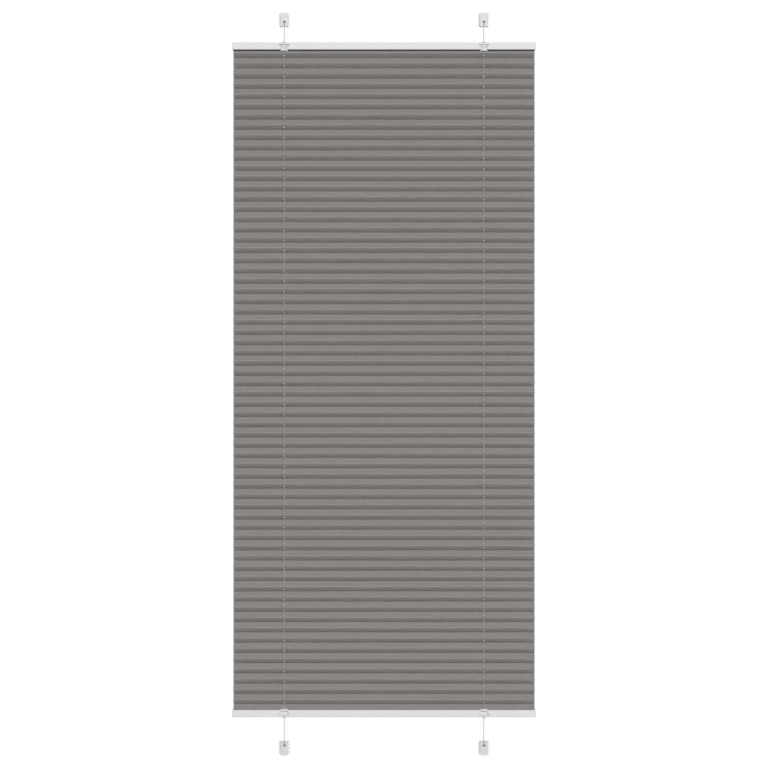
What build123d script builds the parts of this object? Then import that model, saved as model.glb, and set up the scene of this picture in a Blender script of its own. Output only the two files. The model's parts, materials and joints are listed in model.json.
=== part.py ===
from build123d import *
import math
import os

# Pleated blind held on two tensioned cords between four screwed shoes.
# Millimetres. +X is to the right, +Y goes towards the wall or window frame, +Z is up.
# The origin is the centre of the four shoe screw holes, in the plane the shoes are screwed to.

# ---- Driving dimensions: the whole blind
blind_width = 450.0  # rail with both end caps
blind_height = 1000.0  # top of the top rail to bottom of the bottom rail
cord_spacing = 296.0  # between the two upright cords
top_cord_gap = 23.3  # free cord between the top shoes and the top rail
bottom_cord_gap = 35.8  # free cord between the bottom rail and the bottom shoes
mount_offset = 13.0  # mounting surface to the plane of the cords

# ---- Cord
cord_dia = 0.9
cord_clearance = 0.3  # air between a cord and whatever slides along it
knot_dia = 2.8
cord_tail = 2.3  # cord left standing beyond the middle of its knot
crossing_gap = 0.4  # air between the two cords where they cross in a rail
wrap_clearance = 0.05  # crossing cord to its pin

# ---- Rail extrusion, seen from its end
rail_depth = 21.0
rail_wall = 1.1
rail_corner_r = 1.2
lip_thickness = 0.9
lip_opening = 10.4  # slot between the two lips that hold the fabric strip
channel_spare = 0.4  # play above the strip and the cloth round it
shelf_thickness = 0.9  # between the fabric channel and the cord chamber
chamber_low_gap = 0.55  # shelf to the nearest crossing cord
chamber_high_gap = 1.05  # outer wall to the nearest crossing cord

# ---- End caps
cap_thickness = 1.5
cap_plug_length = 6.0
cap_plug_wall = 1.2
cap_clearance = 0.15

# ---- Cord guides, pushed into the rails from the front
guide_head_width = 14.8
guide_stem_width = 9.6
guide_head_side_height = 1.0  # upright part of the head's sides
guide_dome = 1.4  # how far the rounded flange stands out of the rail
guide_back = 5.2  # from the cord plane towards the wall
guide_front_recess = 0.15
guide_face_recess = 1.5  # sloping face behind the rail's front, at its top
guide_face_slope = 1.7  # how much further back the face is at its bottom
guide_flange_height = 1.9
guide_clearance = 0.15
guide_bore_clearance = 0.9
guide_trough_clearance = 0.8
guide_trough_behind = 1.1  # trough beyond the cord, away from the middle of the rail

# ---- Deflection pins, one in each guide
pin_dia = 2.0
pin_length = 9.0
pin_cover = 0.5  # guide above the pin
pin_clearance = 0.04

# ---- Eyelets where the cords go through the outer wall of a rail
eyelet_bore_clearance = 0.6
eyelet_wall = 1.3
eyelet_rim = 2.2  # dome beyond the stem
eyelet_dome = 1.4
eyelet_stem_grip = 0.4  # stem beyond the wall, inside the rail
eyelet_clearance = 0.1

# ---- Tension springs, in the top rail
spring_dia = 4.4
spring_wire = 0.5
spring_body_length = 44.0
spring_gap = 2.0  # between the two springs
spring_hook_wire = 0.4
spring_knot_dia = 1.9
spring_knot_reach = 1.0  # knot's middle beyond the end of the coils

# ---- Pleated fabric
fabric_side_inset = 1.65  # fabric edge in from the end of the rail
fabric_thickness = 0.3
pleat_face = 20.0  # fold to fold, along the cloth
pleat_pitch_wanted = 15.2
first_fold_drop = 4.5  # first front fold below the top rail
fabric_clearance = 0.05  # cloth to its strip and to the lips
fabric_lip_gap = 0.2  # cloth to the edge of the lip where it goes in
cord_hole_clearance = 1.0  # cloth round a cord, where it goes through each pleat
fabric_end_inset = 0.2  # cut end of the cloth in from the edge of its strip
guide_notch_clearance = 0.35

# ---- Strip inside each end of the cloth
strip_side_gap = 1.0
strip_thickness = 0.9
strip_end_inset = 2.0

# ---- Tension shoes, heights measured from the end that the cord leaves
shoe_body_width = 12.9
shoe_height = 21.5
shoe_shoulder = 19.6
shoe_front_cover = 4.0  # cord plane to the front of the body
shoe_side_wall = 1.25  # beside the wide end of the insert
shoe_edge_r = 1.0
shoe_leg_inset = 0.3
base_wing = 2.05
base_thickness = 2.2
base_low = 1.0
base_high = 20.0
base_corner_r = 2.0
screw_hole_dia = 3.6
screw_head_dia = 7.0
screw_sink = 1.1
screw_setback = 13.5
rib_width = 1.0
rib_height = 1.4
rib_side_wall = 0.85
rib_end_inset = 2.0
rib_clearance = 0.1
pocket_floor = 6.0  # from the mounting surface
insert_high_width = 5.2
insert_low = 0.9
insert_high = 17.4
insert_nose_width = 3.0
insert_proud = 0.2
insert_clearance = 0.12
keyhole_clearance = 0.8
keyhole_setback = 7.0
keyhole_back_gap = 0.4  # round part, behind the knot
slot_clearance = 0.55
lug_width = 3.0
lug_length = 2.0
lug_height = 1.4
lug_setback = 3.0

# ---- Sizes that follow from the ones above
cord_r = cord_dia / 2
cord_plane_step = (cord_dia + crossing_gap) / 2  # each crossing cord from the plane of the upright cords
wrap_r = pin_dia / 2 + cord_r + wrap_clearance
inner_half_depth = rail_depth / 2 - rail_wall
fabric_channel_height = strip_thickness + 2 * fabric_thickness + 4 * fabric_clearance + channel_spare
channel_top = lip_thickness + fabric_channel_height
chamber_floor = channel_top + shelf_thickness
chamber_roof = chamber_floor + chamber_low_gap + 2 * (wrap_r + cord_r) + chamber_high_gap
rail_height = chamber_roof + rail_wall
pin_height = chamber_floor + chamber_low_gap + cord_r + wrap_r
guide_head_top = pin_height + pin_dia / 2 + pin_cover
eyelet_bore_dia = cord_dia + 2 * eyelet_bore_clearance
eyelet_stem_dia = eyelet_bore_dia + 2 * eyelet_wall
eyelet_dia = eyelet_stem_dia + 2 * eyelet_rim
strip_depth = 2 * (inner_half_depth - strip_side_gap)
strip_low = lip_thickness + fabric_thickness + 2 * fabric_clearance
lip_entry = fabric_thickness / 2 + fabric_lip_gap  # middle of the cloth from the lip that it passes
shoe_depth = mount_offset + shoe_front_cover
base_width = shoe_body_width + 2 * base_wing
insert_low_width = shoe_body_width - 2 * shoe_side_wall
rib_offset = shoe_body_width / 2 - rib_side_wall - rib_width / 2
keyhole_dia = knot_dia + 2 * keyhole_clearance
keyhole_slot = cord_dia + 2 * slot_clearance

# ---- Places
cord_x = cord_spacing / 2
cord_y = -mount_offset
pin_x = cord_x - (pin_dia / 2 + cord_r + cord_clearance)
screw_spacing = blind_height + top_cord_gap + bottom_cord_gap + 2 * screw_setback
top_shoe_z = screw_spacing / 2 - screw_setback
bottom_shoe_z = -screw_spacing / 2 + screw_setback
top_rail_z = top_shoe_z - top_cord_gap - rail_height  # its face on the fabric side
bottom_rail_z = bottom_shoe_z + bottom_cord_gap + rail_height
rail_length = blind_width - 2 * cap_thickness
far = 60.0  # longer than any cut has to reach
cut_past = 1.0  # how far an open cut runs past the face it opens


def block(low, high):
    """Box between two opposite corners."""
    size = [b - a for a, b in zip(low, high)]
    middle = [(a + b) / 2 for a, b in zip(low, high)]
    return Pos(*middle) * Box(*size)


def rod(start, end, radius):
    """Straight round rod from one point to another."""
    path = Line(start, end)
    return sweep(Plane(origin=path @ 0, z_dir=path % 0) * Circle(radius), path)


def along_y(outline, front, back):
    """Carries an outline drawn in X and Z from y = front to y = back."""
    start = Plane(origin=(0, back, 0), x_dir=(1, 0, 0), z_dir=(0, -1, 0))
    return extrude(start * outline, amount=back - front)


def along_x(outline, length):
    """Carries an outline drawn in Y and Z along X, centred on x = 0."""
    return extrude(Plane.YZ * outline, amount=length / 2, both=True)


def polygon(points):
    return make_face(Polyline(*points, close=True))


def in_rail(shape, top):
    """Puts a piece drawn in the rail's own frame (z = 0 on the fabric side) into a rail."""
    if top:
        return Pos(0, cord_y, top_rail_z) * shape
    return Pos(0, cord_y, bottom_rail_z) * mirror(shape, about=Plane.XY)


# ---- Rails
def guide_outline(grow, low):
    """Head, sloping shoulders and stem of a guide, with straight sides down to z = low."""
    head = guide_head_width / 2 + grow
    stem = guide_stem_width / 2 + grow
    head_low = guide_head_top - guide_head_side_height
    right = [(stem, low), (stem, channel_top), (head, head_low), (head, guide_head_top + grow)]
    left = [(-x, z) for x, z in reversed(right)]
    return polygon(right + left)


def rail():
    shell = Pos(0, rail_height / 2) * RectangleRounded(rail_depth, rail_height, rail_corner_r)
    chamber_middle = (chamber_floor + chamber_roof) / 2
    shell -= Pos(0, chamber_middle) * Rectangle(2 * inner_half_depth, chamber_roof - chamber_floor)
    shell -= Pos(0, lip_thickness + fabric_channel_height / 2) * Rectangle(
        2 * inner_half_depth, fabric_channel_height
    )
    shell -= Rectangle(lip_opening, 2 * (lip_thickness + fabric_clearance))
    body = along_x(shell, rail_length)
    notch = along_y(guide_outline(guide_clearance, -cut_past), -rail_depth, guide_back + guide_clearance)
    eyelet_hole = Pos(0, 0, rail_height) * Cylinder(
        eyelet_stem_dia / 2 + eyelet_clearance, 2 * (rail_wall + guide_clearance)
    )
    for x in (-cord_x, cord_x):
        body -= Pos(x, 0, 0) * notch
        body -= Pos(x, 0, 0) * eyelet_hole
    return body


def end_cap():
    """Cap for the right-hand end: a plate with a hollow plug that goes into the cord chamber."""
    plate = Pos(0, rail_height / 2) * RectangleRounded(rail_depth, rail_height, rail_corner_r)
    cap = extrude(Plane.YZ * plate, amount=cap_thickness)
    half = inner_half_depth - cap_clearance
    low = chamber_floor + cap_clearance
    high = chamber_roof - cap_clearance
    cap += block((-cap_plug_length, -half, low), (0, half, high))
    cap -= block(
        (-cap_plug_length, -half + cap_plug_wall, low + cap_plug_wall),
        (0, half - cap_plug_wall, high - cap_plug_wall),
    )
    return Pos(rail_length / 2, 0, 0) * cap


# ---- What carries the cords in a rail
def cord_guide():
    """Guide for the right-hand cord, with its trough open towards the middle of the rail."""
    stem = guide_stem_width / 2
    front = -rail_depth / 2 + guide_front_recess
    body = along_y(guide_outline(0, 0.0), front, guide_back)
    dome_edge = [Line((-stem, 0), (stem, 0)), ThreePointArc((stem, 0), (0, -guide_dome), (-stem, 0))]
    body += along_y(make_face(dome_edge), front, guide_back)
    face_top = -rail_depth / 2 + guide_face_recess
    face_low = face_top + guide_face_slope
    recess = polygon(
        [
            (-rail_depth, guide_flange_height),
            (face_low, guide_flange_height),
            (face_top, rail_height),
            (-rail_depth, rail_height),
        ]
    )
    body -= along_x(recess, 2 * guide_head_width)
    half_trough = cord_plane_step + cord_r + guide_trough_clearance
    trough_floor = pin_height - wrap_r - cord_r - guide_clearance
    body -= block(
        (-guide_head_width, -half_trough, trough_floor),
        (cord_r + guide_trough_behind, half_trough, rail_height),
    )
    body -= Cylinder(cord_r + guide_bore_clearance, far)
    pin_seat = Cylinder(pin_dia / 2 + pin_clearance, pin_length + 2 * pin_clearance)
    body -= Pos(pin_x - cord_x, 0, pin_height) * Rot(90, 0, 0) * pin_seat
    return Pos(cord_x, 0, 0) * body


def eyelet():
    """Domed eyelet for the right-hand cord, pressed into the rail's outer wall."""
    edge_r = eyelet_dia / 2
    dome_r = (edge_r**2 + eyelet_dome**2) / (2 * eyelet_dome)
    dome = Pos(0, 0, eyelet_dome - dome_r) * Sphere(dome_r)
    dome &= Pos(0, 0, eyelet_dome / 2) * Cylinder(edge_r, eyelet_dome)
    stem_length = rail_wall + eyelet_stem_grip
    dome += Pos(0, 0, -stem_length / 2) * Cylinder(eyelet_stem_dia / 2, stem_length)
    dome -= Cylinder(eyelet_bore_dia / 2, far)
    return Pos(cord_x, 0, rail_height) * dome


def pins():
    """The two deflection pins of one rail."""
    pin = Pos(0, 0, pin_height) * Rot(90, 0, 0) * Cylinder(pin_dia / 2, pin_length)
    return [Pos(x, 0, 0) * pin for x in (-pin_x, pin_x)]


def cord_turns():
    """Where each crossing cord leaves its pins: A starts on the fabric side at the left, B at the right."""
    near = pin_height - wrap_r
    beyond = pin_height + wrap_r
    cord_a = ((-pin_x, cord_plane_step, near), (pin_x, cord_plane_step, beyond))
    cord_b = ((-pin_x, -cord_plane_step, beyond), (pin_x, -cord_plane_step, near))
    return cord_a, cord_b


def plain_crossings():
    """Two cords straight from pin to pin."""
    return [rod(left, right, cord_r) for left, right in cord_turns()]


def spring_y(cord):
    """Each spring lies on its own cord's side of the upright cords."""
    return math.copysign((spring_dia + spring_gap) / 2, cord[0][1])


def sprung_crossings():
    """Two cords, each in two lengths that lie beside the hooks of its spring and end in a knot."""
    lengths = []
    beside_hook = cord_r + spring_hook_wire / 2 + wrap_clearance
    for cord in cord_turns():
        knot_y = spring_y(cord) - math.copysign(beside_hook, cord[0][1])
        for turn in cord:
            knot_x = math.copysign(spring_body_length / 2 + spring_knot_reach, turn[0])
            knot = (knot_x, knot_y, pin_height)
            lengths.append(rod(turn, knot, cord_r) + Pos(*knot) * Sphere(spring_knot_dia / 2))
    return lengths


def springs():
    """Two closely wound springs, each with a hook ring at both ends."""
    coil_r = (spring_dia - spring_wire) / 2
    body = Cylinder(spring_dia / 2, spring_body_length) - Cylinder(spring_dia / 2 - spring_wire, far)
    body = Rot(0, 90, 0) * body
    for side in (-1, 1):
        ring = Rot(90, 0, 0) * Torus(coil_r, spring_hook_wire / 2)
        body += Pos(side * spring_body_length / 2, 0, 0) * ring
    return [Pos(0, spring_y(cord), pin_height) * body for cord in cord_turns()]


# ---- Fabric
def fabric_strip():
    """Stiff strip inside the end of the cloth, notched from the front for the two guides."""
    half = strip_depth / 2
    length = rail_length / 2 - strip_end_inset
    strip = block((-length, -half, strip_low), (length, half, strip_low + strip_thickness))
    notch_half = guide_stem_width / 2 + guide_notch_clearance
    notch_back = guide_back + guide_notch_clearance
    for x in (-cord_x, cord_x):
        strip -= block((x - notch_half, -far, 0), (x + notch_half, notch_back, rail_height))
    return strip


def cloth_line():
    """Middle of the cloth as (y, z) points, from its end in the top rail to its end in the bottom rail."""
    away = fabric_thickness / 2 + fabric_clearance
    under_strip = strip_low - away
    over_strip = strip_low + strip_thickness + away
    wrap = strip_depth / 2 + away
    cut_end = -strip_depth / 2 + fabric_end_inset
    beside_lip = lip_opening / 2 - lip_entry
    first_fold = top_rail_z - first_fold_drop
    last_fold = bottom_rail_z + lip_entry
    drop = first_fold - last_fold
    pleats = round(drop / pleat_pitch_wanted)
    half_pitch = drop / pleats / 2
    fold_y = math.sqrt(pleat_face**2 - half_pitch**2) / 2
    points = [(cut_end, over_strip), (wrap, over_strip), (wrap, under_strip), (beside_lip, under_strip)]
    points = [(y, top_rail_z + a) for y, a in points]
    for fold in range(2 * pleats + 1):
        side = -1 if fold % 2 == 0 else 1
        points.append((side * fold_y, first_fold - fold * half_pitch))
    tail = [
        (-beside_lip - fabric_clearance, -lip_entry + fabric_clearance),
        (-beside_lip + fabric_clearance, under_strip),
        (wrap, under_strip),
        (wrap, over_strip),
        (cut_end, over_strip),
    ]
    points += [(y, bottom_rail_z - a) for y, a in tail]
    return points


def thick_outline(points, thickness):
    """Closed outline of a sheet of one thickness whose middle follows the points, mitred at its folds."""
    ways = []
    for (y0, z0), (y1, z1) in zip(points, points[1:]):
        length = math.hypot(y1 - y0, z1 - z0)
        ways.append(((y1 - y0) / length, (z1 - z0) / length))
    one_side = []
    other_side = []
    for i, (y, z) in enumerate(points):
        before = ways[max(i - 1, 0)]
        after = ways[min(i, len(ways) - 1)]
        normal = (-before[1] - after[1], before[0] + after[0])
        size = math.hypot(*normal)
        normal = (normal[0] / size, normal[1] / size)
        reach = thickness / 2 / (normal[1] * after[0] - normal[0] * after[1])
        one_side.append((y + reach * normal[0], z + reach * normal[1]))
        other_side.append((y - reach * normal[0], z - reach * normal[1]))
    return one_side + other_side[::-1]


def pleated_fabric():
    """Zigzag cloth with a round hole for each cord in every face, cut away round the guides."""
    outline = thick_outline(cloth_line(), fabric_thickness)
    cloth = along_x(polygon(outline), blind_width - 2 * fabric_side_inset)
    notch_half = guide_stem_width / 2 + guide_notch_clearance
    notch_back = guide_back + guide_notch_clearance
    notch_reach = guide_dome + guide_notch_clearance
    height = top_rail_z - bottom_rail_z
    for x in (-cord_x, cord_x):
        middle = (top_rail_z + bottom_rail_z) / 2
        cloth -= Pos(x, 0, middle) * Cylinder(cord_r + cord_hole_clearance, height + 2 * rail_height)
        for low_z, high_z in (
            (top_rail_z - notch_reach, top_rail_z + rail_height),
            (bottom_rail_z - rail_height, bottom_rail_z + notch_reach),
        ):
            cloth -= block((x - notch_half, -far, low_z), (x + notch_half, notch_back, high_z))
    return Pos(0, cord_y, 0) * cloth


# ---- Tension shoes, drawn for the top: the cord leaves downwards at z = 0
def shoe_base():
    """Clear plate screwed to the frame, with two ribs that the body clips over."""
    height = base_high - base_low
    plate = Pos(0, (base_low + base_high) / 2) * RectangleRounded(base_width, height, base_corner_r)
    base = along_y(plate, -base_thickness, 0)
    for side in (-1, 1):
        base += block(
            (side * rib_offset - rib_width / 2, -base_thickness - rib_height, base_low + rib_end_inset),
            (side * rib_offset + rib_width / 2, -base_thickness, base_high - rib_end_inset),
        )
    hole = Rot(90, 0, 0) * Cylinder(screw_hole_dia / 2, far)
    sink = Rot(90, 0, 0) * Cone(screw_hole_dia / 2, screw_head_dia / 2, screw_sink)
    base -= Pos(0, 0, screw_setback) * hole
    base -= Pos(0, -base_thickness + screw_sink / 2, screw_setback) * sink
    return base


def insert_half_width(z):
    """Half width of the tapering insert at one height."""
    share = (z - insert_low) / (insert_high - insert_low)
    return (insert_low_width + share * (insert_high_width - insert_low_width)) / 2


def shoe_body():
    """Housing with a rounded outer end and a tapering pocket, open in front and where the cord leaves."""
    half = shoe_body_width / 2
    legs = [(-half, shoe_shoulder), (-half, shoe_leg_inset), (half, shoe_leg_inset), (half, shoe_shoulder)]
    edge = [Polyline(*legs), ThreePointArc((half, shoe_shoulder), (0, shoe_height), (-half, shoe_shoulder))]
    body = along_y(make_face(edge), -shoe_depth, -base_thickness)
    front_edges = body.faces().sort_by(Axis.Y)[0].edges()
    body = fillet(front_edges, shoe_edge_r)
    low_z = -cut_past
    high_z = insert_high + insert_clearance
    low_half = insert_half_width(low_z) + insert_clearance
    high_half = insert_half_width(high_z) + insert_clearance
    pocket = polygon([(-low_half, low_z), (low_half, low_z), (high_half, high_z), (-high_half, high_z)])
    body -= along_y(pocket, -far, -pocket_floor)
    body -= Pos(0, 0, screw_setback) * Rot(90, 0, 0) * Cylinder(screw_head_dia / 2, far)
    groove_half = rib_width / 2 + rib_clearance
    groove_front = -base_thickness - rib_height - rib_clearance
    for side in (-1, 1):
        body -= block(
            (side * rib_offset - groove_half, groove_front, base_low + rib_end_inset - rib_clearance),
            (side * rib_offset + groove_half, 0, base_high - rib_end_inset + rib_clearance),
        )
    lug_half = lug_width / 2 + insert_clearance
    lug_end = lug_setback + lug_length + insert_clearance
    body -= block(
        (-lug_half, -pocket_floor - cut_past, lug_setback - insert_clearance),
        (lug_half, -pocket_floor + lug_height + insert_clearance, lug_end),
    )
    return body


def cord_insert():
    """Tapering insert with a keyhole for the cord's knot, and a lug that stops it sliding out."""
    low_half = insert_half_width(insert_low)
    high_half = insert_half_width(insert_high)
    nose = insert_nose_width / 2
    outline = polygon(
        [
            (-low_half, insert_low),
            (-nose - insert_low / 2, insert_low),
            (-nose, 0),
            (nose, 0),
            (nose + insert_low / 2, insert_low),
            (low_half, insert_low),
            (high_half, insert_high),
            (-high_half, insert_high),
        ]
    )
    back = -pocket_floor - insert_clearance
    insert = along_y(outline, -shoe_depth - insert_proud, back)
    insert += block(
        (-lug_width / 2, back, lug_setback),
        (lug_width / 2, -pocket_floor + lug_height, lug_setback + lug_length),
    )
    keyhole = Pos(0, keyhole_setback) * Circle(keyhole_dia / 2)
    insert -= along_y(keyhole, -far, cord_y + knot_dia / 2 + keyhole_back_gap)
    insert -= block(
        (-keyhole_slot / 2, -far, -cut_past),
        (keyhole_slot / 2, cord_y + cord_r + cord_clearance, keyhole_setback),
    )
    return insert


def upright_cord():
    """Cord from the knot in its top shoe straight down to the knot in its bottom shoe."""
    knot_seat = keyhole_setback - (keyhole_dia - knot_dia) / 2
    high = top_shoe_z + knot_seat
    low = bottom_shoe_z - knot_seat
    cord = rod((0, cord_y, low - cord_tail), (0, cord_y, high + cord_tail), cord_r)
    for z in (low, high):
        cord += Pos(0, cord_y, z) * Sphere(knot_dia / 2)
    return cord


# ---- Build every piece and write it
nodes = {"pleated_fabric": pleated_fabric()}
for end, top in (("top", True), ("bottom", False)):
    nodes[f"{end}_rail"] = in_rail(rail(), top)
    nodes[f"fabric_strip_{end}"] = in_rail(fabric_strip(), top)
    nodes[f"deflection_pins_{end}"] = Compound(children=[in_rail(pin, top) for pin in pins()])
    crossings = sprung_crossings() if top else plain_crossings()
    nodes[f"crossing_cords_{end}"] = Compound(children=[in_rail(cord, top) for cord in crossings])
    for side in ("left", "right"):
        right_hand = {"end_cap": end_cap(), "cord_guide": cord_guide(), "cord_eyelet": eyelet()}
        for name, piece in right_hand.items():
            handed = piece if side == "right" else mirror(piece, about=Plane.YZ)
            nodes[f"{name}_{end}_{side}"] = in_rail(handed, top)
        x = cord_x if side == "right" else -cord_x
        shoe = {"shoe_base": shoe_base(), "shoe_body": shoe_body(), "cord_insert": cord_insert()}
        for name, piece in shoe.items():
            if top:
                nodes[f"{name}_{end}_{side}"] = Pos(x, 0, top_shoe_z) * piece
            else:
                nodes[f"{name}_{end}_{side}"] = Pos(x, 0, bottom_shoe_z) * mirror(piece, about=Plane.XY)
nodes["tension_springs"] = Compound(children=[in_rail(spring, True) for spring in springs()])
nodes["upright_cord_left"] = Pos(-cord_x, 0, 0) * upright_cord()
nodes["upright_cord_right"] = Pos(cord_x, 0, 0) * upright_cord()

os.makedirs("parts", exist_ok=True)
for name, shape in nodes.items():
    export_step(shape, f"parts/{name}.step")
print(f"screw holes {cord_spacing:.1f} x {screw_spacing:.1f} mm apart")
print(f"rail faces on the fabric side at z = {top_rail_z:.2f} and {bottom_rail_z:.2f} mm")
print(f"cloth {blind_width - 2 * fabric_side_inset:.1f} mm wide")
line = cloth_line()
flat = sum(math.dist(a, b) for a, b in zip(line, line[1:]))
print(f"cloth laid flat {flat:.0f} mm long, {len(line)} points")
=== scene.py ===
# %% [markdown]
# # A pleated window blind on two taut cords
#
# Two slim rails slide up and down a pair of cords that are stretched between four small shoes, and a
# zigzag cloth hangs between the rails. The rails, shoes and fittings arrive finished, as solids at their
# real size. This script gives them their surfaces and makes what a solid can't show: the folded cloth
# with its holes, the braided cords with their knots, and the wound springs inside the top rail.
#
# Everything is in metres. X runs along the rails, Y points into the wall and Z is up.

import json

import bpy
import numpy as np
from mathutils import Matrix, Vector

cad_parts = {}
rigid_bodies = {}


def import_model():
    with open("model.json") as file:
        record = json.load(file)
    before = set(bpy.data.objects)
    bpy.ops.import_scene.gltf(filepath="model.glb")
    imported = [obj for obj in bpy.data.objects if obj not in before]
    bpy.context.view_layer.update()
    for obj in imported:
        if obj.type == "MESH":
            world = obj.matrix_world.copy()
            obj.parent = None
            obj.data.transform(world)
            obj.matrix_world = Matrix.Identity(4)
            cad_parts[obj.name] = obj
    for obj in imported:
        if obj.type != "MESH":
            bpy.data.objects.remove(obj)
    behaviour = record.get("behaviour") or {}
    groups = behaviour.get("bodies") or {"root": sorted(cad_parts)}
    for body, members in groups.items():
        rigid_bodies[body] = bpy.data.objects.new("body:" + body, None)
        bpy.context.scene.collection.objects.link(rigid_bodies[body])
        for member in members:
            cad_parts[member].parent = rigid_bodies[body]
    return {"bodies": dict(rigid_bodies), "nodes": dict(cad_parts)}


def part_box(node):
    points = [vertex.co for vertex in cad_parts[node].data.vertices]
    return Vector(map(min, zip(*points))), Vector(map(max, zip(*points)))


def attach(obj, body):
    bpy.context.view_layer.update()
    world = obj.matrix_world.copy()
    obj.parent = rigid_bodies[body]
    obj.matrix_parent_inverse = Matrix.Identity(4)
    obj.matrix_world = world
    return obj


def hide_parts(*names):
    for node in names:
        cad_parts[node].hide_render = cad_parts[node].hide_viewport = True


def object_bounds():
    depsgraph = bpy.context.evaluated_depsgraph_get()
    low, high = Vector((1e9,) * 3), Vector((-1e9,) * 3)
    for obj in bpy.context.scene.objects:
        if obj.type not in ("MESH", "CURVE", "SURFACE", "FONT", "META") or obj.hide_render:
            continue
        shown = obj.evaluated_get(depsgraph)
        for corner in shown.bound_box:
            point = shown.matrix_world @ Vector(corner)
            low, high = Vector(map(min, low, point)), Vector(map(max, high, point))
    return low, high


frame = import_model()
frame_low, frame_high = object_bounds()
MM = 0.001
print("frame in mm:", [round(float(v) / MM, 1) for v in frame_high - frame_low])


# %% [markdown]
# Every place comes from the solids themselves. A node's box tells where a rail's face is, how wide the
# cloth is and where a cord runs, so a piece made here lands where the solid was.

# %% Places read from the solids
def box(node):
    """Lowest and highest corner of one solid, as numpy arrays."""
    low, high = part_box(node)
    return np.array(low), np.array(high)


def middle(node):
    """Centre of one solid's box."""
    low, high = box(node)
    return (low + high) / 2


cord_x = middle("upright_cord_right")[0]
cord_y = middle("upright_cord_right")[1]
top_face_z = box("top_rail")[0][2]
bottom_face_z = box("bottom_rail")[1][2]
centre = (np.array(frame_low) + np.array(frame_high)) / 2
print("cords at x = +-%.1f mm, y = %.1f mm" % (cord_x / MM, cord_y / MM))
print("cloth between z = %.2f and %.2f mm" % (bottom_face_z / MM, top_face_z / MM))


# %% [markdown]
# ## Helpers for meshes
#
# A surface is a grid of points worked out at once with numpy: rows run along a path, columns across it.
# Blender takes the whole array with one call, which is far quicker than adding vertices one by one.

# %% A mesh from arrays
def new_mesh(name, points, faces, body, uv=None, extra=()):
    """Object with these vertices and faces that rides on a body.

    uv is one pair per vertex. extra holds pairs of a name and one value per vertex."""
    mesh = bpy.data.meshes.new(name)
    mesh.from_pydata(np.asarray(points).tolist(), [], faces)
    mesh.shade_smooth()
    if uv is not None:
        corners = np.zeros(len(mesh.loops), np.int32)
        mesh.loops.foreach_get("vertex_index", corners)
        layer = mesh.uv_layers.new(name="flat")
        layer.uv.foreach_set("vector", np.asarray(uv)[corners].astype(np.float32).ravel())
    for key, values in extra:
        mesh.attributes.new(key, "FLOAT", "POINT").data.foreach_set("value", values.astype(np.float32))
    piece = bpy.data.objects.new(name, mesh)
    bpy.context.scene.collection.objects.link(piece)
    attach(piece, body)
    print("%s: %d points, %d faces" % (name, len(mesh.vertices), len(mesh.polygons)))
    return piece


def unit(vectors):
    """Each vector divided by its length."""
    return vectors / np.linalg.norm(vectors, axis=-1, keepdims=True)


ASLANT = (0.31, 0.95, 0.0)  # a direction that no path starts along


def carried_normals(path):
    """A direction square to the path at each point, turned as little as possible from one to the next."""
    ways = unit(np.gradient(path, axis=0))
    normals = np.empty_like(path)
    normals[0] = unit(np.cross(ways[0], ASLANT))
    for i in range(1, len(path)):
        flat = normals[i - 1] - ways[i] * np.dot(normals[i - 1], ways[i])
        normals[i] = flat / np.linalg.norm(flat)
    return normals


def tube(path, radius, sides, normals=None):
    """Round tube: ring point = path + radius * (cos(a) * normal + sin(a) * binormal), closed at both ends.

    Returns its points, faces and one (turn round, length along) pair per point."""
    ways = unit(np.gradient(path, axis=0))
    normals = carried_normals(path) if normals is None else normals
    normals = unit(normals - ways * np.sum(normals * ways, axis=1, keepdims=True))
    binormals = np.cross(ways, normals)
    angle = np.linspace(0, 2 * np.pi, sides, endpoint=False)
    turn = angle[None, :, None]
    spokes = np.cos(turn) * normals[:, None] + np.sin(turn) * binormals[:, None]
    radius = np.broadcast_to(radius, len(path))
    points = (path[:, None] + radius[:, None, None] * spokes).reshape(-1, 3)
    ring, side = np.meshgrid(np.arange(len(path) - 1), np.arange(sides), indexing="ij")
    after = (side + 1) % sides
    low, high = ring * sides, (ring + 1) * sides
    corners = [low + side, low + after, high + after, high + side]
    faces = np.stack(corners, axis=-1).reshape(-1, 4).tolist()
    faces += [list(range(sides))[::-1], list(range((len(path) - 1) * sides, len(path) * sides))]
    along = np.concatenate([[0], np.cumsum(np.linalg.norm(np.diff(path, axis=0), axis=1))])
    share_of_turn = np.broadcast_to(angle / (2 * np.pi), (len(path), sides))
    uv = np.stack([share_of_turn, np.repeat(along[:, None], sides, 1)], -1)
    return points, faces, uv.reshape(-1, 2)


# %% [markdown]
# ## Helpers for materials
#
# Colours are written as the hex values that a paint chart gives. Cycles works in linear light, so one
# function converts them. One more function adds any kind of node, with its settings and its links.

# %% Colours and nodes
def linear(colour):
    """sRGB hex to linear RGBA: the low end is a straight line, the rest a power of 2.4."""
    value = np.array([int(colour[i : i + 2], 16) for i in (1, 3, 5)]) / 255
    bright = np.where(value <= 0.04045, value / 12.92, ((value + 0.055) / 1.055) ** 2.4)
    return (*bright.tolist(), 1.0)


def node(tree, kind, settings=None, **inputs):
    """Adds a node. settings are its own properties; inputs are values or output sockets, by input name."""
    made = tree.nodes.new("ShaderNode" + kind)
    for key, value in (settings or {}).items():
        setattr(made, key, value)
    for key, value in inputs.items():
        socket = made.inputs[int(key[1:]) if key[0] == "i" and key[1:].isdigit() else key.replace("_", " ")]
        if isinstance(value, bpy.types.NodeSocket):
            tree.links.new(value, socket)
        else:
            socket.default_value = value
    return made


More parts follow.
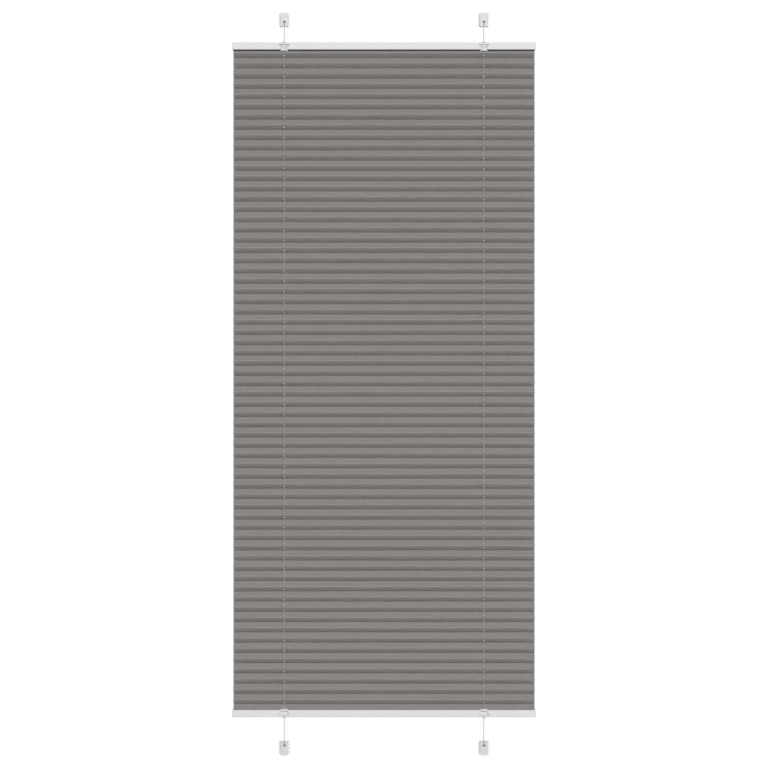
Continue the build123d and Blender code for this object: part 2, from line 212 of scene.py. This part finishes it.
def new_material(name, **shader_inputs):
    """Material with one Principled shader. Returns the material, its node tree and the shader."""
    material = bpy.data.materials.new(name)
    material.use_nodes = True
    tree = material.node_tree
    shader = tree.nodes["Principled BSDF"]
    for key, value in shader_inputs.items():
        shader.inputs[key.replace("_", " ")].default_value = value
    return material, tree, shader


def mottled(tree, vector, size, low, high):
    """Colour that wanders between two hex values over patches of one size in metres."""
    noise = node(tree, "TexNoise", Vector=vector, Scale=1 / size, Detail=3.0, Roughness=0.6)
    ramp = node(tree, "ValToRGB", Fac=noise.outputs["Fac"])
    start, end = ramp.color_ramp.elements
    start.position, end.position = 0.3, 0.7
    start.color, end.color = linear(low), linear(high)
    return ramp.outputs["Color"]


ROUGHNESS_SWING = 0.05


def grained(tree, shader, vector, size, depth, roughness):
    """Fine grain: a bump of one depth and size in metres, and a roughness that varies with it."""
    noise = node(tree, "TexNoise", Vector=vector, Scale=1 / size, Detail=2.0, Roughness=0.5)
    bump = node(tree, "Bump", Height=noise.outputs["Fac"], Strength=1.0, Distance=depth)
    tree.links.new(bump.outputs["Normal"], shader.inputs["Normal"])
    spread = node(tree, "MapRange", Value=noise.outputs["Fac"])
    spread.inputs["To Min"].default_value = roughness - ROUGHNESS_SWING
    spread.inputs["To Max"].default_value = roughness + ROUGHNESS_SWING
    tree.links.new(spread.outputs["Result"], shader.inputs["Roughness"])


# %% [markdown]
# ## Powder-coated aluminium
#
# The rails are extruded and then sprayed with powder that melts into an even, satin white skin. The eye
# sees a faint orange-peel ripple of about a millimetre and almost no colour change. The skin is paint,
# so the shader is a plastic with an IOR of 1.5 and isn't metallic.

# %% Rail finish
def powder_coat():
    material, tree, shader = new_material("powder_coated_aluminium", IOR=1.5)
    place = node(tree, "TexCoord").outputs["Object"]
    tree.links.new(mottled(tree, place, 60 * MM, "#DEDCDE", "#E1DFE1"), shader.inputs["Base Color"])
    grained(tree, shader, place, size=1.1 * MM, depth=0.006 * MM, roughness=0.42)
    return material


rail_paint = powder_coat()


# %% [markdown]
# ## Moulded plastics
#
# The end caps, cord guides, eyelets and the strips in the cloth are injection moulded with a fine matt
# texture. The shoes are a glossier acetal. All are dielectrics near IOR 1.49, and differ in how rough
# the mould was: spark-eroded for the matt parts, lightly polished for the shoes.

# %% Matt and satin plastic
def moulded(name, low, high, roughness, size, depth):
    material, tree, shader = new_material(name, IOR=1.49)
    place = node(tree, "TexCoord").outputs["Object"]
    tree.links.new(mottled(tree, place, 9 * MM, low, high), shader.inputs["Base Color"])
    grained(tree, shader, place, size, depth, roughness)
    return material


guide_plastic = moulded(
    "matt_moulded_polypropylene", "#D8D7D8", "#DEDDDE", roughness=0.5, size=0.35 * MM, depth=0.004 * MM
)
shoe_acetal = moulded(
    "satin_moulded_acetal", "#D8D7DA", "#DFDFE1", roughness=0.34, size=0.5 * MM, depth=0.002 * MM
)


# %% [markdown]
# ## Clear polycarbonate
#
# The plates under the shoes are moulded in clear polycarbonate, IOR 1.585. They are thin and stand
# against white, so they look like a faint grey-white tint.

# %% Clear base plates
def clear_plate():
    material, tree, shader = new_material("clear_polycarbonate", IOR=1.585, Transmission_Weight=0.9)
    place = node(tree, "TexCoord").outputs["Object"]
    tree.links.new(mottled(tree, place, 5 * MM, "#F8F8FA", "#FDFDFE"), shader.inputs["Base Color"])
    grained(tree, shader, place, size=0.8 * MM, depth=0.002 * MM, roughness=0.12)
    return material


clear_plastic = clear_plate()


# %% [markdown]
# ## Drawn steel
#
# The pins that the cords turn round, and the springs, are bright drawn wire. Drawing leaves fine lines
# that show as streaks in its shine. They run along Y, as the pins do. Steel is a metal, so the shader
# keeps its default IOR.

# %% Wire and pins
def drawn_steel():
    material, tree, shader = new_material("bright_drawn_steel", Metallic=1.0)
    place = node(tree, "TexCoord").outputs["Object"]
    tree.links.new(mottled(tree, place, 2 * MM, "#B9BABC", "#C8C8C9"), shader.inputs["Base Color"])
    stretched = node(tree, "Mapping", Vector=place, Scale=(1.0, 0.06, 1.0)).outputs["Vector"]
    grained(tree, shader, stretched, size=0.12 * MM, depth=0.001 * MM, roughness=0.28)
    return material


steel = drawn_steel()


# %% [markdown]
# ## Braided cord
#
# The cord is pale grey polyester, braided from sixteen bundles of fine yarn. The bundles cross over each
# other in two families of helices, one turning left and one right. On the cord's own UV map, one turn
# round is one unit of U, and V is the length in metres, so each family is a sine of a slanted sum.
# The solid crossing cords in the rails have no such map, and take a like grey with a plain fibre grain.

# %% Cord finishes
CARRIERS = 8  # bundles in each of the two families
BRAID_PITCH = 5.5 * MM  # length in which one bundle goes once round


def helix_wave(tree, uv, sign):
    """Sine of CARRIERS * (turn + sign * length / pitch) full circles: one family of bundles."""
    split = node(tree, "SeparateXYZ", Vector=uv)
    length = node(tree, "Math", {"operation": "MULTIPLY"}, i0=split.outputs["Y"], i1=sign / BRAID_PITCH)
    turn = node(tree, "Math", {"operation": "ADD"}, i0=split.outputs["X"], i1=length.outputs[0])
    angle = node(tree, "Math", {"operation": "MULTIPLY"}, i0=turn.outputs[0], i1=2 * np.pi * CARRIERS)
    return node(tree, "Math", {"operation": "SINE"}, i0=angle.outputs[0]).outputs[0]


def braided_cord():
    material, tree, shader = new_material(
        "braided_polyester_cord", IOR=1.5, Roughness=0.75, Sheen_Weight=0.3, Sheen_Roughness=0.5
    )
    uv = node(tree, "UVMap", {"uv_map": "flat"}).outputs["UV"]
    left, right = helix_wave(tree, uv, 1), helix_wave(tree, uv, -1)
    over = node(tree, "Math", {"operation": "MAXIMUM"}, i0=left, i1=right).outputs[0]
    shade = node(tree, "MapRange", Value=over, From_Min=-1.0)
    colour = node(tree, "ValToRGB", Fac=shade.outputs["Result"])
    # painted shade: the grooves between the bundles get the darker grey, the bundles' crowns the cord's own
    groove_painted_shade, on_bundle = colour.color_ramp.elements
    groove_painted_shade.color, on_bundle.color = linear("#93918F"), linear("#C2C1BF")
    tree.links.new(colour.outputs["Color"], shader.inputs["Base Color"])
    bump = node(tree, "Bump", Height=shade.outputs["Result"], Strength=1.0, Distance=0.08 * MM)
    tree.links.new(bump.outputs["Normal"], shader.inputs["Normal"])
    return material


def plain_cord():
    material, tree, shader = new_material("polyester_cord_inside_rail", IOR=1.5, Sheen_Weight=0.3)
    place = node(tree, "TexCoord").outputs["Object"]
    tree.links.new(mottled(tree, place, 1.2 * MM, "#A19F9D", "#BAB9B7"), shader.inputs["Base Color"])
    grained(tree, shader, place, size=0.3 * MM, depth=0.04 * MM, roughness=0.75)
    return material


cord_braid = braided_cord()
cord_fibre = plain_cord()


# %% [markdown]
# ## Pleated polyester
#
# The cloth is a plain weave of warm grey polyester, stiffened with resin and pressed into pleats by
# heat. Its yarns lie 0.25 mm apart, which is finer than a view of the whole blind can show, so the
# threads are drawn 0.5 mm apart. Yarns vary in thickness along their length, which gives faint streaks
# both ways. Some light passes through the cloth, so a Translucent shader is mixed in. Round each
# hole the colour is darkened: painted shade where the hole and the cord shade the cloth.

# %% Cloth finish
THREAD = 0.5 * MM
STREAK_LONG = 60 * MM
STREAK_WIDE = 1.2 * MM
LIGHT_THROUGH = 0.12  # share of the Translucent shader in the mix


def pleated_polyester():
    material, tree, shader = new_material(
        "pleated_polyester_weave", IOR=1.5, Roughness=0.8, Sheen_Weight=0.15
    )
    uv = node(tree, "UVMap", {"uv_map": "flat"}).outputs["UV"]
    split = node(tree, "SeparateXYZ", Vector=uv)
    waves = []
    for axis in ("X", "Y"):
        angle = node(tree, "Math", {"operation": "MULTIPLY"}, i0=split.outputs[axis], i1=2 * np.pi / THREAD)
        waves.append(node(tree, "Math", {"operation": "SINE"}, i0=angle.outputs[0]).outputs[0])
    weave = node(tree, "Math", {"operation": "MULTIPLY"}, i0=waves[0], i1=waves[1]).outputs[0]
    streaks = []
    for across, along in ((STREAK_LONG, STREAK_WIDE), (STREAK_WIDE, STREAK_LONG)):
        slub = node(tree, "Mapping", Vector=uv, Scale=(1 / across, 1 / along, 1.0)).outputs["Vector"]
        streaks.append(node(tree, "TexNoise", Vector=slub, Scale=1.0, Detail=2.0).outputs["Fac"])
    streak = node(tree, "Math", {"operation": "ADD"}, i0=streaks[0], i1=streaks[1]).outputs[0]
    tone = node(tree, "MapRange", Value=streak, From_Min=0.7, From_Max=1.3).outputs["Result"]
    colour = node(tree, "ValToRGB", Fac=tone)
    dark_streak, pale_streak = colour.color_ramp.elements
    dark_streak.color, pale_streak.color = linear("#B2AFAD"), linear("#B9B6B4")
    # painted shade: round each hole the cloth's colour is pulled towards a dark grey
    edge = node(tree, "Attribute", {"attribute_name": "hole_painted_shade"}).outputs["Fac"]
    painted_shade_colour = linear("#6E6B68")
    with_hole_shade = node(tree, "Mix", {"data_type": "RGBA"}, i0=edge, i6=colour.outputs["Color"], i7=painted_shade_colour)
    tree.links.new(with_hole_shade.outputs[2], shader.inputs["Base Color"])
    bump = node(tree, "Bump", Height=weave, Strength=0.6, Distance=0.05 * MM)
    tree.links.new(bump.outputs["Normal"], shader.inputs["Normal"])
    glow = node(tree, "BsdfTranslucent", Color=with_hole_shade.outputs[2], Normal=bump.outputs["Normal"])
    mixed = node(tree, "MixShader", i0=LIGHT_THROUGH, i1=shader.outputs[0], i2=glow.outputs[0])
    tree.links.new(mixed.outputs[0], tree.nodes["Material Output"].inputs["Surface"])
    return material


cloth_weave = pleated_polyester()


# %% [markdown]
# ## Finishing the solids
#
# The solids already have their true shape, so each only gets its material. A table says which solids,
# by the start of their name, are made of what.

# %% Materials onto solids
FINISHES = {
    "top_rail": rail_paint,
    "bottom_rail": rail_paint,
    "end_cap": guide_plastic,
    "cord_guide": guide_plastic,
    "cord_eyelet": guide_plastic,
    "fabric_strip": guide_plastic,
    "shoe_body": shoe_acetal,
    "cord_insert": shoe_acetal,
    "shoe_base": clear_plastic,
    "deflection_pins": steel,
    "crossing_cords": cord_fibre,
}
finished = 0
for start, material in FINISHES.items():
    for name, solid in frame["nodes"].items():
        if name.startswith(start):
            for place in solid.material_slots:
                place.material = material
            finished += 1
print("solids finished:", finished, "of", len(frame["nodes"]))


# %% [markdown]
# ## The cloth, drawn flat
#
# A pleated cloth is cut and punched while it is flat, and folded afterwards. The mesh is made in the
# same order. First comes the line that the cloth follows, seen from the end of the blind: round the
# strip in the top rail, down through the folds and round the strip in the bottom rail. Its length is
# the cloth's real length. The points stand where the solid cloth has them: the tails hug the strips and
# the rails' lips, and each face between two folds is 20 mm long.

# %% The folded line
CLOTH = 0.3 * MM
SPARE = 0.05 * MM  # cloth to strip and lips
FACE = 20 * MM
END_INSET = 0.2 * MM  # from a strip's front edge back to the cloth's cut end
BESIDE_LIP = 4.85 * MM  # middle of the cloth to the cords' plane, where it passes a lip
LOW_TURN = 0.3 * MM  # above the bottom rail's face, where the cloth turns down past the lip
strip_low, strip_high = box("fabric_strip_top")
under_strip = strip_low[2] - SPARE - CLOTH / 2 - top_face_z
over_strip = strip_high[2] + SPARE + CLOTH / 2 - top_face_z
wrap = strip_high[1] - cord_y + SPARE + CLOTH / 2
cut_end = cord_y - strip_high[1] + END_INSET
first_fold = -4.5 * MM  # from the top rail's face
last_fold = 0.35 * MM  # above the bottom rail's face

fold_count = 129
drop = (top_face_z + first_fold) - (bottom_face_z + last_fold)
half_pitch = drop / (fold_count - 1)
fold_y = np.sqrt(FACE**2 - half_pitch**2) / 2
fold = np.arange(fold_count)
fold_z = top_face_z + first_fold - fold * half_pitch
fold_points = np.stack([np.where(fold % 2, fold_y, -fold_y), fold_z], 1)
top_tail = np.array(
    [(cut_end, over_strip), (wrap, over_strip), (wrap, under_strip), (BESIDE_LIP, under_strip)]
)
bottom_tail = np.array(
    [
        (-BESIDE_LIP - SPARE, LOW_TURN),
        (-BESIDE_LIP + SPARE, -under_strip),
        (wrap, -under_strip),
        (wrap, -over_strip),
        (cut_end, -over_strip),
    ]
)
line = np.concatenate([top_tail + (0, top_face_z), fold_points, bottom_tail + (0, bottom_face_z)])
reach = np.concatenate([[0], np.cumsum(np.linalg.norm(np.diff(line, axis=0), axis=1))])
cloth_low, cloth_high = box("pleated_fabric")
cloth_width = cloth_high[0] - cloth_low[0]
print("cloth cut to %.1f x %.1f mm, %d folds" % (cloth_width / MM, reach[-1] / MM, fold_count))
print("pleats %.2f mm apart, folds %.2f mm from the cords" % (2 * half_pitch / MM, fold_y / MM))


# %% [markdown]
# Now the pattern that is cut from the flat cloth: a grid whose columns are places across the blind and
# whose rows are lengths along the cloth. Each face has a round hole for each cord. A square round every
# hole is left out of the grid and filled with rings of faces that run from the circle out to the square,
# so the hole is a true round opening. The cloth also has notches where the two cord guides stand.

# %% Rows and columns of the pattern
HOLE_R = 1.45 * MM
NOTCH_HALF = 5.15 * MM  # half the width of a notch, and of the square round a hole
NOTCH_BACK = 5.55 * MM  # how far a notch reaches behind the cords
NOTCH_REACH = 1.75 * MM  # how far it reaches out of a rail
CREASE = 0.35 * MM  # rounded part of a fold, each side of it
PER_SIDE = 4  # faces along each side of the square round a hole
EDGE_COLUMNS, MIDDLE_COLUMNS = 5, 17  # beside the cords and between them

fold_reach = reach[len(top_tail) : len(top_tail) + fold_count]
hole_reach = (fold_reach[:-1] + fold_reach[1:]) / 2
quarters = np.linspace(-1, 1, PER_SIDE + 1)


def reach_where(segment, axis, value):
    """Length along the cloth where one straight stretch of the line has this y (axis 0) or z (axis 1)."""
    start, end = line[segment, axis], line[segment + 1, axis]
    return reach[segment] + (value - start) / (end - start) * (reach[segment + 1] - reach[segment])


# Stretches are numbered from 0 at the top. The first and the last lie beyond the strips, 2 and last - 2
# lie between strip and lips, and 3 and last - 5 are the faces next to the rails.
last = len(line) - 2
notches = [
    (reach[0], reach_where(0, 0, NOTCH_BACK)),
    (reach_where(2, 0, NOTCH_BACK), reach_where(3, 1, top_face_z - NOTCH_REACH)),
    (reach_where(last - 5, 1, bottom_face_z + NOTCH_REACH), reach_where(last - 2, 0, NOTCH_BACK)),
    (reach_where(last, 0, NOTCH_BACK), reach[-1]),
]
bends = reach[1:-1]
hole_rows = (hole_reach[:, None] + NOTCH_HALF * quarters).ravel()
rows = [reach[[0, -1]], bends - CREASE, bends, bends + CREASE, hole_rows, np.ravel(notches)]
rows = np.unique(np.round(np.concatenate(rows), 9))  # places less than a nanometre apart are one
between = cord_x - NOTCH_HALF
columns = np.concatenate(
    [
        np.linspace(-cloth_width / 2, -cord_x - NOTCH_HALF, EDGE_COLUMNS),
        -cord_x + NOTCH_HALF * quarters,
        np.linspace(-between, between, MIDDLE_COLUMNS),
        cord_x + NOTCH_HALF * quarters,
        np.linspace(cord_x + NOTCH_HALF, cloth_width / 2, EDGE_COLUMNS),
    ]
)
columns = np.unique(np.round(columns, 9))
print("pattern: %d rows, %d columns, %d holes" % (len(rows), len(columns), 2 * len(hole_reach)))


# %% The grid, without its holes and notches
def grid_faces(across, along):
    """Corner numbers of every cell of a grid, counted row by row."""
    row, column = np.meshgrid(np.arange(along - 1), np.arange(across - 1), indexing="ij")
    first = row * across + column
    return np.stack([first, first + 1, first + 1 + across, first + across], -1).reshape(-1, 4)


grid_x, grid_s = (a.ravel() for a in np.meshgrid(columns, rows))
cells = grid_faces(len(columns), len(rows))
cell_x, cell_s = grid_x[cells].mean(1), grid_s[cells].mean(1)
by_cord = np.abs(np.abs(cell_x) - cord_x) < NOTCH_HALF
nearest = np.abs(cell_s[:, None] - hole_reach[None]).min(1)
notched = np.any([(cell_s > a) & (cell_s < b) for a, b in notches], axis=0)
cells = cells[~(by_cord & ((nearest < NOTCH_HALF) | notched))]
print("grid cells kept:", len(cells))

# %% Rings of faces from each round hole to its square
SPOKES = 4 * PER_SIDE
side, step = np.divmod(np.arange(SPOKES), PER_SIDE)
corner = np.array([(-1, -1), (1, -1), (1, 1), (-1, 1), (-1, -1)], float)
square = NOTCH_HALF * (corner[side] + (corner[side + 1] - corner[side]) * step[:, None] / PER_SIDE)
circle = HOLE_R * unit(square)
spread = np.array([0.0, 0.3, 1.0])[:, None, None]  # ring 0 is the hole's edge, ring 2 the square
one_patch = (circle * (1 - spread) + square * spread).reshape(-1, 2)
hole_x, hole_s = (a.ravel() for a in np.meshgrid((-cord_x, cord_x), hole_reach))
patches = (one_patch[None] + np.stack([hole_x, hole_s], 1)[:, None]).reshape(-1, 2)
ring, spoke = (a.ravel() for a in np.meshgrid(np.arange(2), np.arange(SPOKES), indexing="ij"))
inner, outer = ring * SPOKES, (ring + 1) * SPOKES
turned = (spoke + 1) % SPOKES
around = np.stack([inner + spoke, outer + spoke, outer + turned, inner + turned], -1)
patch_cells = (around[None] + np.arange(len(hole_x))[:, None, None] * len(one_patch)).reshape(-1, 4)

# %% Grid and rings joined into one flat sheet
loose = np.concatenate([np.stack([grid_x, grid_s], 1), patches])
loose_cells = np.concatenate([cells, patch_cells + len(grid_x)])
flat, same = np.unique(np.round(loose[loose_cells.ravel()], 8), axis=0, return_inverse=True)
sheet_cells = same.reshape(-1, 4)


# %% [markdown]
# ## The cloth, folded
#
# Folding maps each flat point (x, s) to space: x stays, and s is looked up along the folded line. A fold
# in stiffened cloth isn't knife sharp, so each bend is cut short by a small curve. Pleats are never
# perfectly straight either: every fold wanders a tenth of a millimetre along its length, and every face
# sags a little under its weight. The random numbers come from one seed, so each run gives the same cloth.

# %% Folding
WANDER = 0.12 * MM
SAG = 0.18 * MM
HELD = 0.3  # of a face: the cloth above the last fold that stands round the domes of the bottom guides
CALM_FOLDS = 6  # the waviness grows from nothing over this many folds at each rail
# the next width is that of the painted shade round a hole
HOLE_SHADE_WIDTH = 1.2 * MM  # darker cloth round a hole
random = np.random.default_rng(7)

before_bend = line[1:-1] - unit(line[1:-1] - line[:-2]) * CREASE
after_bend = line[1:-1] + unit(line[2:] - line[1:-1]) * CREASE
rounded = line[1:-1] / 2 + (before_bend + after_bend) / 4
curves = np.stack([before_bend, rounded, after_bend], 1).reshape(-1, 2)
knots = np.concatenate([line[[0]], curves, line[[-1]]])
knot_reach = np.concatenate([[0], (bends[:, None] + (-CREASE, 0, CREASE)).ravel(), [reach[-1]]])
phase = random.uniform(0, 2 * np.pi, (fold_count, 2, 3))
waves = 2 * np.pi / np.array([0.46, 0.21, 0.09])  # lengths of the waves along a fold, in metres
share = np.array([0.5, 0.3, 0.2])


def wander(x, number):
    """How far fold `number` lies off its straight line at x, in y and z: three slow sines added up."""
    return WANDER * (share * np.sin(waves * x[:, None, None] + phase[number])).sum(2)


def folded(x, s):
    """Point in space for each flat point, and how far down it is: 0 at the first fold, 1 near the last."""
    number = np.interp(s, fold_reach, np.arange(fold_count))
    upper = np.minimum(number.astype(int), fold_count - 2)
    part = number - upper
    calm = np.clip(np.minimum(number, fold_count - 1 - number) / CALM_FOLDS, 0, 1)
    off = wander(x, upper) * (1 - part)[:, None] + wander(x, upper + 1) * part[:, None]
    y = cord_y + np.interp(s, knot_reach, knots[:, 0]) + calm * off[:, 0]
    z = np.interp(s, knot_reach, knots[:, 1]) + calm * (off[:, 1] - SAG * np.sin(np.pi * part))
    return np.stack([x, y, z], 1), np.minimum(number / (fold_count - 1 - HELD), 1)


places, depth = folded(flat[:, 0], flat[:, 1])
to_hole = np.hypot(np.abs(flat[:, 0]) - cord_x, np.abs(flat[:, 1, None] - hole_reach[None]).min(1))
# painted shade mask: 1 at the hole's edge, fading to 0 over the width of the painted shade
hole_painted_shade = np.clip(1 - (to_hole - HOLE_R) / HOLE_SHADE_WIDTH, 0, 1)
cloth = new_mesh(
    "pleated_cloth",
    places,
    sheet_cells.tolist(),
    "shoes_and_cords",
    uv=flat,
    extra=[("hole_painted_shade", hole_painted_shade)],
)
cloth.data.materials.append(cloth_weave)
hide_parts("pleated_fabric")


# %% [markdown]
# When a rail slides, the cloth between the rails folds up evenly. Two Hook modifiers do that: one ties
# the cloth to the top rail with a weight that falls from 1 at the first fold to 0 near the last, and the
# other ties it to the bottom rail the other way round. The last fold lies so close to the bottom rail
# that a little of the face above it moves with the rail too, or it would fold down onto the domes of the
# cord guides. Solidify comes after the hooks, so the cloth keeps its thickness however tightly it folds.

# %% Hooks on both rails, then thickness
def hook(piece, body, weights):
    """Pulls the piece along with a body, each point by its own weight.

    Points of one weight are added at once."""
    group = piece.vertex_groups.new(name=body)
    levels, level = np.unique(np.round(weights, 6), return_inverse=True)
    order = np.argsort(level, kind="stable")
    for weight, members in zip(levels, np.split(order, np.cumsum(np.bincount(level))[:-1])):
        if weight > 0:
            group.add(members.tolist(), float(weight), "REPLACE")
    modifier = piece.modifiers.new("follow_" + body, "HOOK")
    modifier.object = frame["bodies"][body]
    modifier.vertex_group = body
    modifier.falloff_type = "NONE"
    modifier.strength = 1.0
    print("%s follows %s in %d steps" % (piece.name, body, len(levels)))


hook(cloth, "top_rail_set", 1 - depth)
hook(cloth, "bottom_rail_set", depth)
thick = cloth.modifiers.new("cloth_thickness", "SOLIDIFY")
thick.thickness = CLOTH
thick.offset = 0.0
thick.use_even_offset = True
smooth = cloth.modifiers.new("even_shading", "WEIGHTED_NORMAL")
smooth.mode = "FACE_AREA"


# %% [markdown]
# ## The two upright cords
#
# Each cord runs dead straight from one shoe to the other, because the springs keep it taut. Behind the
# keyhole in each shoe it ends in an overhand knot with a short tail. An overhand knot is an open
# trefoil, and there is a neat polynomial for one: sideways t^3 - 3t, across t^4 - 4t^2 + 2, and along
# t^5 - 10t. A window pulls it back to the straight line at both ends.

# %% Cords and knots
CORD_R = 0.45 * MM
CORD_SIDES = 16
CORD_POINTS = 62  # along one straight cord, the ends of its knots included
ENDS = np.array([0.55, 0.92])  # shares of the radius at the cord's cut ends, which are melted round
KNOT_HALF = 0.9 * MM  # how far the middle of the cord swings sideways
KNOT_ALONG = 0.094 * MM  # length of the knot, for each unit of the polynomial
KNOT_POINTS = 70
KNOT_START, KNOT_END = -2.3, 2.127  # the first t, and the last one, where the tail is cut
WINDOW = 1.9  # the t at which the window is half closed
TAIL = 2.3 * MM  # the middle of a knot stands this far inside the end of the solid cord


def knot(middle_z, towards):
    """Path of one knot along z, from the taut side to the tail."""
    t = np.linspace(KNOT_START, KNOT_END, KNOT_POINTS)
    window = 1 / (1 + (t / WINDOW) ** 16)
    sideways = KNOT_HALF * 0.5 * (t**3 - 3 * t) * window
    across = KNOT_HALF * 0.5 * (t**4 - 4 * t**2 + 2) * window
    along = KNOT_ALONG * (t**5 - 10 * t)
    return np.stack([sideways, across, middle_z + towards * along], 1)


def cord_path(x):
    """Lower knot from its tail upwards, the straight cord, then the upper knot out to its tail."""
    low, high = box("upright_cord_left")
    upper = knot(high[2] - TAIL, 1)
    lower = knot(low[2] + TAIL, -1)[::-1]
    heights = np.linspace(lower[-1, 2], upper[0, 2], CORD_POINTS)[1:-1]
    straight = np.stack([0 * heights, 0 * heights, heights], 1)
    return np.concatenate([lower, straight, upper]) + (x, cord_y, 0)


for side_name, x in (("left", -cord_x), ("right", cord_x)):
    path = cord_path(x)
    radius = np.full(len(path), CORD_R)
    radius[[0, 1]] = radius[[-1, -2]] = CORD_R * ENDS
    points, faces, uv = tube(path, radius, CORD_SIDES)
    cord = new_mesh("braided_cord_" + side_name, points, faces, "shoes_and_cords", uv=uv)
    cord.data.materials.append(cord_braid)
    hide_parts("upright_cord_" + side_name)


# %% [markdown]
# ## The tension springs
#
# Inside the top rail each cord is tied to a closely wound extension spring. A coil is a circle that
# moves along its own axis by little more than the wire's thickness a turn, and at each end the wire
# bends out into a hook that the cord is tied to. The turns are hidden in the rail, so each has only a
# few faces.

# %% Wound springs
WIRE = 0.46 * MM
WIRE_SIDES = 6
SPRING_BODY = 44 * MM
SPRING_PITCH = 0.5 * MM
POINTS_A_TURN = 18
HOOK_POINTS = 12
spring_low, spring_high = box("tension_springs")
spring_dia = spring_high[2] - spring_low[2]
spring_offset = (spring_high[1] - spring_low[1] - spring_dia) / 2
coil_r = (spring_dia - WIRE) / 2
turns = round(SPRING_BODY / SPRING_PITCH)


def spring_path():
    """Left hook, coil and right hook along x, with the direction out from the axis at each point."""
    bend = np.linspace(0, np.pi, HOOK_POINTS)
    round_angle = np.linspace(0, 2 * np.pi * turns, turns * POINTS_A_TURN + 1)[1:-1]
    length = SPRING_BODY * (round_angle / round_angle[-1] - 0.5)
    coil = np.stack([length, coil_r * np.sin(round_angle), coil_r * np.cos(round_angle)], 1)
    coil_out = np.stack([0 * length, np.sin(round_angle), np.cos(round_angle)], 1)
    hook_out = np.stack([np.sin(bend), 0 * bend, np.cos(bend)], 1)
    right = hook_out * coil_r + (SPRING_BODY / 2, 0, 0)
    left = (right * (-1, 1, 1))[::-1]
    path = np.concatenate([left, coil, right])
    return path, np.concatenate([(hook_out * (-1, 1, 1))[::-1], coil_out, hook_out])


path, outwards = spring_path()
for number, y in enumerate((-spring_offset, spring_offset)):
    where = np.array([0, middle("tension_springs")[1] + y, middle("tension_springs")[2]])
    points, faces, uv = tube(path + where, WIRE / 2, WIRE_SIDES, outwards)
    spring = new_mesh("tension_spring_%d" % (number + 1), points, faces, "top_rail_set", uv=uv)
    spring.data.materials.append(steel)
    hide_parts("tension_springs")


# %% [markdown]
# ## Stage, light and camera
#
# The blind is shown flat on, against white, as in a shop's picture. The white is the world itself, so
# nothing stands behind the blind to catch a shadow, and a pale floor lies well below it for the views
# from above. A Light Path node lets the camera see pure white while the blind is lit by a far softer
# tone, and what shows through the clear plates is that white too: rays that were bent by the plastic,
# but not scattered by the cloth, count as the camera's own.
#
# The main light is a panel far in front and a little above. At 18 degrees it still reaches into the
# pleats, and it strikes the faces that look up more squarely than the ones that look down, which is what
# shows the pleats. A weaker panel lights the back, and one straight above brightens the floor: each
# pleat shades the one below, so it hardly touches the cloth.

# %% World and floor
WORLD_LIGHT = 0.1  # strength of the world as a light; the camera sees it at 1.0
scene = bpy.context.scene
scene.view_settings.view_transform = "Standard"
world = bpy.data.worlds.new("white_studio")
scene.world = world
world.use_nodes = True
tree = world.node_tree
tree.nodes.clear()
seen = node(tree, "Background", Color=linear("#FFFFFF"), Strength=1.0)
lighting = node(tree, "Background", Color=linear("#FFFFFF"), Strength=WORLD_LIGHT)
ray = node(tree, "LightPath")
sharp = {"operation": "SUBTRACT", "use_clamp": True}
clear = node(tree, "Math", sharp, i0=ray.outputs["Is Transmission Ray"], i1=ray.outputs["Is Diffuse Ray"])
camera_ray = ray.outputs["Is Camera Ray"]
straight = node(tree, "Math", {"operation": "MAXIMUM"}, i0=camera_ray, i1=clear.outputs[0])
mix = node(tree, "MixShader", i0=straight.outputs[0], i1=lighting.outputs[0], i2=seen.outputs[0])
node(tree, "OutputWorld", Surface=mix.outputs[0])

FLOOR_Z = -0.9
FLOOR_HALF = 5.0
floor_mesh = bpy.data.meshes.new("studio_floor")
around_floor = ((-1, -1), (1, -1), (1, 1), (-1, 1))
floor_corners = [(x * FLOOR_HALF, y * FLOOR_HALF, FLOOR_Z) for x, y in around_floor]
floor_mesh.from_pydata(floor_corners, [], [(0, 1, 2, 3)])
floor = bpy.data.objects.new("studio_floor", floor_mesh)
scene.collection.objects.link(floor)
floor_paint, tree, shader = new_material("pale_painted_floor", Roughness=0.9)
place = node(tree, "TexCoord").outputs["Object"]
tree.links.new(mottled(tree, place, 400 * MM, "#F2F2F1", "#F5F5F4"), shader.inputs["Base Color"])
floor.data.materials.append(floor_paint)


# %% Soft panels
def panel(name, place, width, height, power):
    """Area light, in metres and watts. It faces the middle of the blind and isn't seen itself."""
    light = bpy.data.lights.new(name, "AREA")
    light.shape = "RECTANGLE"
    light.size, light.size_y, light.energy = width, height, power
    lamp = bpy.data.objects.new(name, light)
    scene.collection.objects.link(lamp)
    lamp.location = place
    lamp.rotation_euler = (Vector(centre) - Vector(place)).to_track_quat("-Z", "Y").to_euler()
    lamp.visible_camera = False


panel("panel_front", (1.4, -14.0, 4.5), 2.8, 1.9, 1490)
panel("panel_behind", (2.4, 5.0, 0.2), 2.6, 2.0, 150)
panel("panel_overhead", (0.0, 0.4, 5.4), 2.4, 2.4, 90)

# %% Camera
DISTANCE = 12.0
VIEW_WIDTH = 1.1393  # metres across the picture at the cords
SENSOR = 36.0  # millimetres
camera_data = bpy.data.cameras.new("camera")
camera_data.sensor_width = SENSOR
camera_data.lens = SENSOR * DISTANCE / VIEW_WIDTH
camera_data.clip_start, camera_data.clip_end = 1.0, 60.0
camera = bpy.data.objects.new("camera", camera_data)
scene.collection.objects.link(camera)
camera.location = (0.0, cord_y - DISTANCE, 0.0)
camera.rotation_euler = (np.pi / 2, 0.0, 0.0)
scene.camera = camera
print("lens %.1f mm at %.1f m" % (camera_data.lens, DISTANCE))
